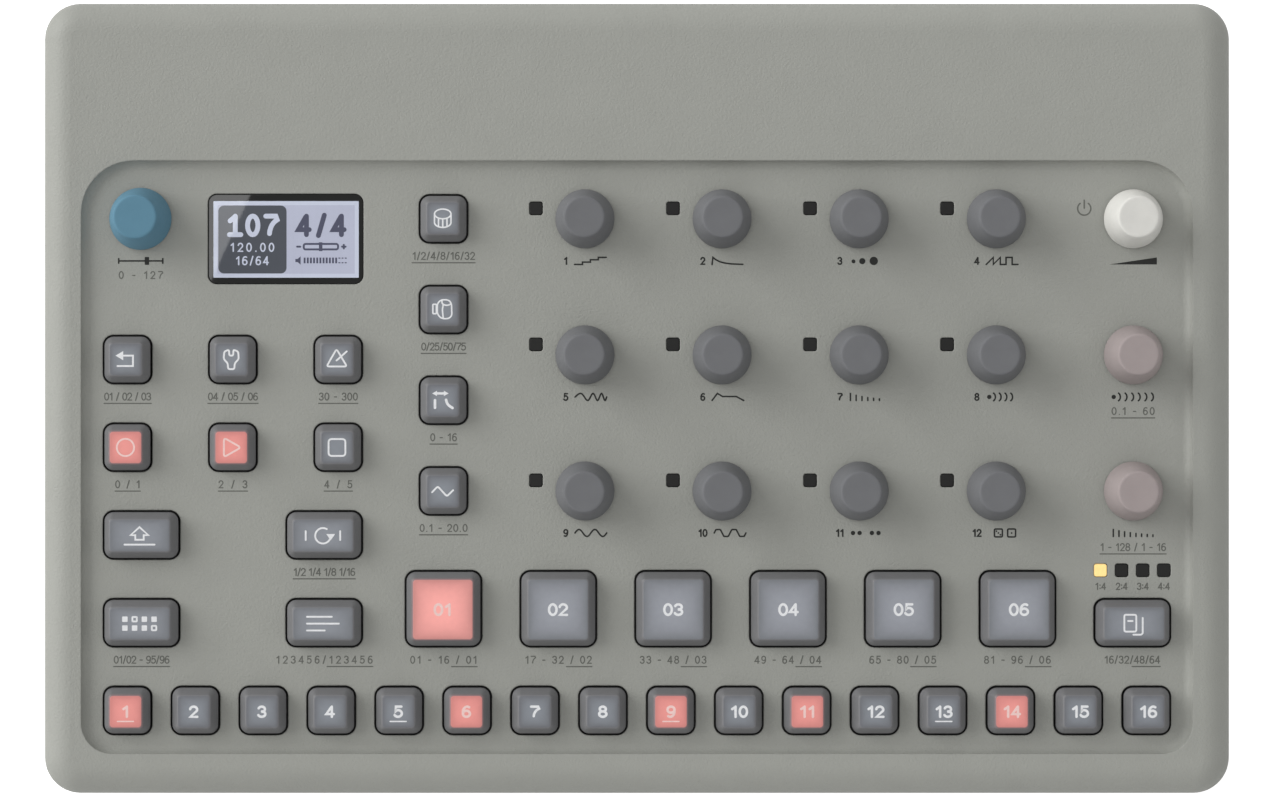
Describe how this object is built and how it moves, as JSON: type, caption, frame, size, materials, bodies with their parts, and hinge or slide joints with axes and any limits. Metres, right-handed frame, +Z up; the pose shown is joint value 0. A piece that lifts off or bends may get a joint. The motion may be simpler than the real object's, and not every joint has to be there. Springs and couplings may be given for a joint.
{
  "type": "drum machine",
  "caption": "Table-top drum machine: flat two-part housing, sunk panel with display, endless knobs, soft square keys and pads, rear sockets.",
  "frame": {"origin": "on the table under the middle of the body", "axes": "+X to the right along the body's width, +Y to the rear, +Z up"},
  "size_m": [0.27, 0.18, 0.039],
  "materials": {
    "housing_grey": "fine satin texture",
    "circuit_board": "solder resist",
    "socket_black": "satin",
    "display_window": "clear hard coat over a lit LCD",
    "foot_rubber": "matt",
    "shaft_steel": "turned",
    "knob_grey": "soft matt",
    "knob_white": "soft matt",
    "knob_pink": "soft matt",
    "knob_blue": "soft matt",
    "key_grey": "frosted translucent",
    "key_lit": "frosted translucent, lit from inside",
    "screw_steel": "black zinc"
  },
  "bodies": {
    "housing": {"top_housing": "housing_grey", "bottom_housing": "housing_grey", "circuit_board": "circuit_board", "rear_sockets": "socket_black", "display_window": "display_window", "feet_and_screws": "foot_rubber"},
    "power_button": {"power_button": "socket_black"},
    "data_knob": {"data_knob": "knob_blue"},
    "param_knob_1": {"param_knob_1": "knob_grey"},
    "param_knob_2": {"param_knob_2": "knob_grey"},
    "param_knob_3": {"param_knob_3": "knob_grey"},
    "param_knob_4": {"param_knob_4": "knob_grey"},
    "param_knob_5": {"param_knob_5": "knob_grey"},
    "param_knob_6": {"param_knob_6": "knob_grey"},
    "param_knob_7": {"param_knob_7": "knob_grey"},
    "param_knob_8": {"param_knob_8": "knob_grey"},
    "param_knob_9": {"param_knob_9": "knob_grey"},
    "param_knob_10": {"param_knob_10": "knob_grey"},
    "param_knob_11": {"param_knob_11": "knob_grey"},
    "param_knob_12": {"param_knob_12": "knob_grey"},
    "main_volume_knob": {"main_volume_knob": "knob_white"},
    "effect_knob_1": {"effect_knob_1": "knob_pink"},
    "effect_knob_2": {"effect_knob_2": "knob_pink"},
    "menu_key_1": {"menu_key_1": "key_grey"},
    "menu_key_2": {"menu_key_2": "key_grey"},
    "menu_key_3": {"menu_key_3": "key_grey"},
    "menu_key_4": {"menu_key_4": "key_grey"},
    "back_key": {"back_key": "key_grey"},
    "tools_key": {"tools_key": "key_grey"},
    "tempo_key": {"tempo_key": "key_grey"},
    "record_key": {"record_key": "key_lit"},
    "play_key": {"play_key": "key_lit"},
    "stop_key": {"stop_key": "key_grey"},
    "step_key_1": {"step_key_1": "key_lit"},
    "step_key_2": {"step_key_2": "key_grey"},
    "step_key_3": {"step_key_3": "key_grey"},
    "step_key_4": {"step_key_4": "key_grey"},
    "step_key_5": {"step_key_5": "key_grey"},
    "step_key_6": {"step_key_6": "key_lit"},
    "step_key_7": {"step_key_7": "key_grey"},
    "step_key_8": {"step_key_8": "key_grey"},
    "step_key_9": {"step_key_9": "key_lit"},
    "step_key_10": {"step_key_10": "key_grey"},
    "step_key_11": {"step_key_11": "key_lit"},
    "step_key_12": {"step_key_12": "key_grey"},
    "step_key_13": {"step_key_13": "key_grey"},
    "step_key_14": {"step_key_14": "key_lit"},
    "step_key_15": {"step_key_15": "key_grey"},
    "step_key_16": {"step_key_16": "key_grey"},
    "function_key": {"function_key": "key_grey"},
    "retrigger_key": {"retrigger_key": "key_grey"},
    "pattern_key": {"pattern_key": "key_grey"},
    "track_key": {"track_key": "key_grey"},
    "page_key": {"page_key": "key_grey"},
    "pad_1": {"pad_1": "key_lit"},
    "pad_2": {"pad_2": "key_grey"},
    "pad_3": {"pad_3": "key_grey"},
    "pad_4": {"pad_4": "key_grey"},
    "pad_5": {"pad_5": "key_grey"},
    "pad_6": {"pad_6": "key_grey"}
  },
  "joints": [
    {"name": "main_volume_turn", "type": "hinge", "parent": "housing", "child": "main_volume_knob", "pos_m": [0.1127, 0.04075, 0.027], "axis": [0, 0, 1], "range_deg": [-150, 150]},
    {"name": "power_press", "type": "slide", "parent": "housing", "child": "power_button", "axis": [0, -1, 0], "range_m": [0, 0.0015], "stiffness_N_per_m": 800, "springref_m": -0.0004},
    {"name": "data_turn", "type": "hinge", "parent": "housing", "child": "data_knob", "pos_m": [-0.1127, 0.04075, 0.027], "axis": [0, 0, 1], "continuous": true},
    {"name": "param_1_turn", "type": "hinge", "parent": "housing", "child": "param_knob_1", "pos_m": [-0.01181, 0.04075, 0.027], "axis": [0, 0, 1], "continuous": true},
    {"name": "effect_1_turn", "type": "hinge", "parent": "housing", "child": "effect_knob_1", "pos_m": [0.1127, 0.00985, 0.027], "axis": [0, 0, 1], "continuous": true},
    {"name": "pad_1_press", "type": "slide", "parent": "housing", "child": "pad_1", "axis": [0, 0, -1], "range_m": [0, 0.001], "stiffness_N_per_m": 800, "springref_m": -0.0004},
    {"name": "step_key_1_press", "type": "slide", "parent": "housing", "child": "step_key_1", "axis": [0, 0, -1], "range_m": [0, 0.001], "stiffness_N_per_m": 800, "springref_m": -0.0004},
    {"name": "step_key_16_press", "type": "slide", "parent": "housing", "child": "step_key_16", "axis": [0, 0, -1], "range_m": [0, 0.001], "stiffness_N_per_m": 800, "springref_m": -0.0004},
    {"name": "page_key_press", "type": "slide", "parent": "housing", "child": "page_key", "axis": [0, 0, -1], "range_m": [0, 0.001], "stiffness_N_per_m": 800, "springref_m": -0.0004},
    {"name": "function_key_press", "type": "slide", "parent": "housing", "child": "function_key", "axis": [0, 0, -1], "range_m": [0, 0.001], "stiffness_N_per_m": 800, "springref_m": -0.0004},
    {"name": "menu_key_1_press", "type": "slide", "parent": "housing", "child": "menu_key_1", "axis": [0, 0, -1], "range_m": [0, 0.001], "stiffness_N_per_m": 800, "springref_m": -0.0004},
    {"name": "record_key_press", "type": "slide", "parent": "housing", "child": "record_key", "axis": [0, 0, -1], "range_m": [0, 0.001], "stiffness_N_per_m": 800, "springref_m": -0.0004},
    {"name": "play_key_press", "type": "slide", "parent": "housing", "child": "play_key", "axis": [0, 0, -1], "range_m": [0, 0.001], "stiffness_N_per_m": 800, "springref_m": -0.0004},
    {"name": "pad_2_press", "type": "slide", "parent": "housing", "child": "pad_2", "axis": [0, 0, -1], "range_m": [0, 0.001], "stiffness_N_per_m": 800, "springref_m": -0.0004},
    {"name": "pad_3_press", "type": "slide", "parent": "housing", "child": "pad_3", "axis": [0, 0, -1], "range_m": [0, 0.001], "stiffness_N_per_m": 800, "springref_m": -0.0004},
    {"name": "pad_4_press", "type": "slide", "parent": "housing", "child": "pad_4", "axis": [0, 0, -1], "range_m": [0, 0.001], "stiffness_N_per_m": 800, "springref_m": -0.0004},
    {"name": "pad_5_press", "type": "slide", "parent": "housing", "child": "pad_5", "axis": [0, 0, -1], "range_m": [0, 0.001], "stiffness_N_per_m": 800, "springref_m": -0.0004},
    {"name": "pad_6_press", "type": "slide", "parent": "housing", "child": "pad_6", "axis": [0, 0, -1], "range_m": [0, 0.001], "stiffness_N_per_m": 800, "springref_m": -0.0004},
    {"name": "menu_key_2_press", "type": "slide", "parent": "housing", "child": "menu_key_2", "axis": [0, 0, -1], "range_m": [0, 0.001], "stiffness_N_per_m": 800, "springref_m": -0.0004},
    {"name": "menu_key_3_press", "type": "slide", "parent": "housing", "child": "menu_key_3", "axis": [0, 0, -1], "range_m": [0, 0.001], "stiffness_N_per_m": 800, "springref_m": -0.0004},
    {"name": "menu_key_4_press", "type": "slide", "parent": "housing", "child": "menu_key_4", "axis": [0, 0, -1], "range_m": [0, 0.001], "stiffness_N_per_m": 800, "springref_m": -0.0004},
    {"name": "back_key_press", "type": "slide", "parent": "housing", "child": "back_key", "axis": [0, 0, -1], "range_m": [0, 0.001], "stiffness_N_per_m": 800, "springref_m": -0.0004},
    {"name": "tools_key_press", "type": "slide", "parent": "housing", "child": "tools_key", "axis": [0, 0, -1], "range_m": [0, 0.001], "stiffness_N_per_m": 800, "springref_m": -0.0004},
    {"name": "tempo_key_press", "type": "slide", "parent": "housing", "child": "tempo_key", "axis": [0, 0, -1], "range_m": [0, 0.001], "stiffness_N_per_m": 800, "springref_m": -0.0004},
    {"name": "stop_key_press", "type": "slide", "parent": "housing", "child": "stop_key", "axis": [0, 0, -1], "range_m": [0, 0.001], "stiffness_N_per_m": 800, "springref_m": -0.0004},
    {"name": "step_key_2_press", "type": "slide", "parent": "housing", "child": "step_key_2", "axis": [0, 0, -1], "range_m": [0, 0.001], "stiffness_N_per_m": 800, "springref_m": -0.0004},
    {"name": "step_key_3_press", "type": "slide", "parent": "housing", "child": "step_key_3", "axis": [0, 0, -1], "range_m": [0, 0.001], "stiffness_N_per_m": 800, "springref_m": -0.0004},
    {"name": "step_key_4_press", "type": "slide", "parent": "housing", "child": "step_key_4", "axis": [0, 0, -1], "range_m": [0, 0.001], "stiffness_N_per_m": 800, "springref_m": -0.0004},
    {"name": "step_key_5_press", "type": "slide", "parent": "housing", "child": "step_key_5", "axis": [0, 0, -1], "range_m": [0, 0.001], "stiffness_N_per_m": 800, "springref_m": -0.0004},
    {"name": "step_key_6_press", "type": "slide", "parent": "housing", "child": "step_key_6", "axis": [0, 0, -1], "range_m": [0, 0.001], "stiffness_N_per_m": 800, "springref_m": -0.0004},
    {"name": "step_key_7_press", "type": "slide", "parent": "housing", "child": "step_key_7", "axis": [0, 0, -1], "range_m": [0, 0.001], "stiffness_N_per_m": 800, "springref_m": -0.0004},
    {"name": "step_key_8_press", "type": "slide", "parent": "housing", "child": "step_key_8", "axis": [0, 0, -1], "range_m": [0, 0.001], "stiffness_N_per_m": 800, "springref_m": -0.0004},
    {"name": "step_key_9_press", "type": "slide", "parent": "housing", "child": "step_key_9", "axis": [0, 0, -1], "range_m": [0, 0.001], "stiffness_N_per_m": 800, "springref_m": -0.0004},
    {"name": "step_key_10_press", "type": "slide", "parent": "housing", "child": "step_key_10", "axis": [0, 0, -1], "range_m": [0, 0.001], "stiffness_N_per_m": 800, "springref_m": -0.0004},
    {"name": "step_key_11_press", "type": "slide", "parent": "housing", "child": "step_key_11", "axis": [0, 0, -1], "range_m": [0, 0.001], "stiffness_N_per_m": 800, "springref_m": -0.0004},
    {"name": "step_key_12_press", "type": "slide", "parent": "housing", "child": "step_key_12", "axis": [0, 0, -1], "range_m": [0, 0.001], "stiffness_N_per_m": 800, "springref_m": -0.0004},
    {"name": "step_key_13_press", "type": "slide", "parent": "housing", "child": "step_key_13", "axis": [0, 0, -1], "range_m": [0, 0.001], "stiffness_N_per_m": 800, "springref_m": -0.0004},
    {"name": "step_key_14_press", "type": "slide", "parent": "housing", "child": "step_key_14", "axis": [0, 0, -1], "range_m": [0, 0.001], "stiffness_N_per_m": 800, "springref_m": -0.0004},
    {"name": "step_key_15_press", "type": "slide", "parent": "housing", "child": "step_key_15", "axis": [0, 0, -1], "range_m": [0, 0.001], "stiffness_N_per_m": 800, "springref_m": -0.0004},
    {"name": "retrigger_key_press", "type": "slide", "parent": "housing", "child": "retrigger_key", "axis": [0, 0, -1], "range_m": [0, 0.001], "stiffness_N_per_m": 800, "springref_m": -0.0004},
    {"name": "pattern_key_press", "type": "slide", "parent": "housing", "child": "pattern_key", "axis": [0, 0, -1], "range_m": [0, 0.001], "stiffness_N_per_m": 800, "springref_m": -0.0004},
    {"name": "track_key_press", "type": "slide", "parent": "housing", "child": "track_key", "axis": [0, 0, -1], "range_m": [0, 0.001], "stiffness_N_per_m": 800, "springref_m": -0.0004},
    {"name": "param_2_turn", "type": "hinge", "parent": "housing", "child": "param_knob_2", "pos_m": [0.01932, 0.04075, 0.027], "axis": [0, 0, 1], "continuous": true},
    {"name": "param_3_turn", "type": "hinge", "parent": "housing", "child": "param_knob_3", "pos_m": [0.05044, 0.04075, 0.027], "axis": [0, 0, 1], "continuous": true},
    {"name": "param_4_turn", "type": "hinge", "parent": "housing", "child": "param_knob_4", "pos_m": [0.08157, 0.04075, 0.027], "axis": [0, 0, 1], "continuous": true},
    {"name": "param_5_turn", "type": "hinge", "parent": "housing", "child": "param_knob_5", "pos_m": [-0.01181, 0.00985, 0.027], "axis": [0, 0, 1], "continuous": true},
    {"name": "param_6_turn", "type": "hinge", "parent": "housing", "child": "param_knob_6", "pos_m": [0.01932, 0.00985, 0.027], "axis": [0, 0, 1], "continuous": true},
    {"name": "param_7_turn", "type": "hinge", "parent": "housing", "child": "param_knob_7", "pos_m": [0.05044, 0.00985, 0.027], "axis": [0, 0, 1], "continuous": true},
    {"name": "param_8_turn", "type": "hinge", "parent": "housing", "child": "param_knob_8", "pos_m": [0.08157, 0.00985, 0.027], "axis": [0, 0, 1], "continuous": true},
    {"name": "param_9_turn", "type": "hinge", "parent": "housing", "child": "param_knob_9", "pos_m": [-0.01181, -0.02104, 0.027], "axis": [0, 0, 1], "continuous": true},
    {"name": "param_10_turn", "type": "hinge", "parent": "housing", "child": "param_knob_10", "pos_m": [0.01932, -0.02104, 0.027], "axis": [0, 0, 1], "continuous": true},
    {"name": "param_11_turn", "type": "hinge", "parent": "housing", "child": "param_knob_11", "pos_m": [0.05044, -0.02104, 0.027], "axis": [0, 0, 1], "continuous": true},
    {"name": "param_12_turn", "type": "hinge", "parent": "housing", "child": "param_knob_12", "pos_m": [0.08157, -0.02104, 0.027], "axis": [0, 0, 1], "continuous": true},
    {"name": "effect_2_turn", "type": "hinge", "parent": "housing", "child": "effect_knob_2", "pos_m": [0.1127, -0.02104, 0.027], "axis": [0, 0, 1], "continuous": true}
  ]
}
